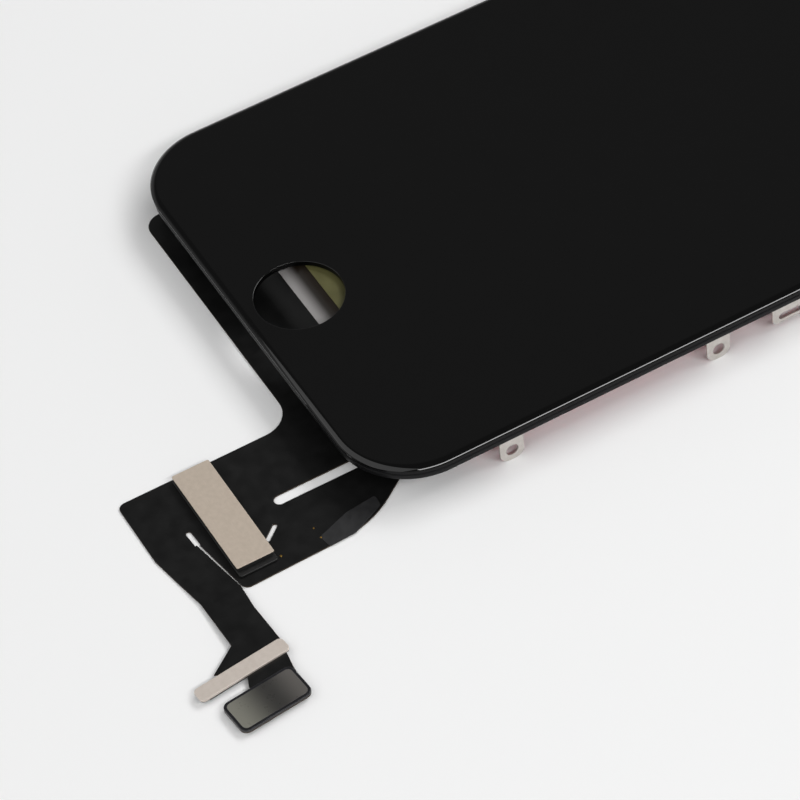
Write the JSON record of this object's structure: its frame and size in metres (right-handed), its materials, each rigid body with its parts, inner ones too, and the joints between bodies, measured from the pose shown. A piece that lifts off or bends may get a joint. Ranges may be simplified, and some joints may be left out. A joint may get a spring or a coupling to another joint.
{
  "type": "phone lcd screen assembly",
  "caption": "Black phone screen: cover glass with button hole, display cell and backlight in a clipped bezel frame, with its flexible circuit unfolded.",
  "frame": {"origin": "middle of the cover glass's outer face", "axes": "+X across the width, +Y along the length away from the button, +Z out of the screen"},
  "size_m": [0.0813, 0.1636, 0.0054],
  "materials": {
    "cover_glass": "polished, black behind",
    "clear_adhesive": "clear",
    "polarizer": "satin grey film",
    "cell_glass": "clear, cut edges",
    "bare_silicon": "polished die",
    "prism_film": "fine ribbed, silvery",
    "diffuser_film": "frosted",
    "light_guide": "clear acrylic",
    "reflector_film": "pearl white",
    "lamp_phosphor": "white body, yellow phosphor",
    "amber_film": "amber polyimide",
    "white_moulding": "moulded white",
    "tray_steel": "pressed sheet, satin",
    "liner_film": "thin tinted liner",
    "black_adhesive": "black bond line",
    "frame_plastic": "moulded black, fine satin",
    "clip_steel": "satin nickel",
    "black_coverlay": "black film, semi-gloss",
    "olive_tape": "olive polyimide",
    "black_stiffener": "black laminate",
    "chip_resin": "moulded resin",
    "black_foam": "black foam",
    "plate_steel": "warm satin steel",
    "bar_steel": "warm satin steel",
    "socket_body": "moulded black, gilt contacts",
    "pad_film": "glossy black stiffener",
    "dust_mesh": "fine woven mesh",
    "ring_plastic": "moulded black"
  },
  "bodies": {
    "root": {"cover_glass": "cover_glass", "optical_adhesive": "clear_adhesive", "front_polarizer": "polarizer", "colour_filter_glass": "cell_glass", "tft_glass": "cell_glass", "rear_polarizer": "polarizer", "driver_chip": "bare_silicon", "upper_prism_film": "prism_film", "lower_prism_film": "prism_film", "diffuser_film": "diffuser_film", "light_guide": "light_guide", "reflector_film": "reflector_film", "backlight_lamps": "lamp_phosphor", "lamp_circuit": "amber_film", "backlight_moulding": "white_moulding", "backlight_tray": "tray_steel", "rear_liner_film": "liner_film", "frame_adhesive": "black_adhesive", "bezel_frame": "frame_plastic", "round_clips_right": "clip_steel", "round_clips_left": "clip_steel", "slotted_clips_right": "clip_steel", "slotted_clips_left": "clip_steel", "display_flex": "black_coverlay", "bond_tape": "olive_tape", "chip_stiffener": "black_stiffener", "touch_chip": "chip_resin", "shield_gasket": "black_foam", "shield_plate": "plate_steel", "bar_stiffener": "bar_steel", "bar_connector": "socket_body", "pad_stiffener": "pad_film", "pad_connector": "socket_body", "earpiece_mesh": "dust_mesh", "camera_ring": "ring_plastic", "sensor_ring": "ring_plastic"}
  },
  "joints": []
}
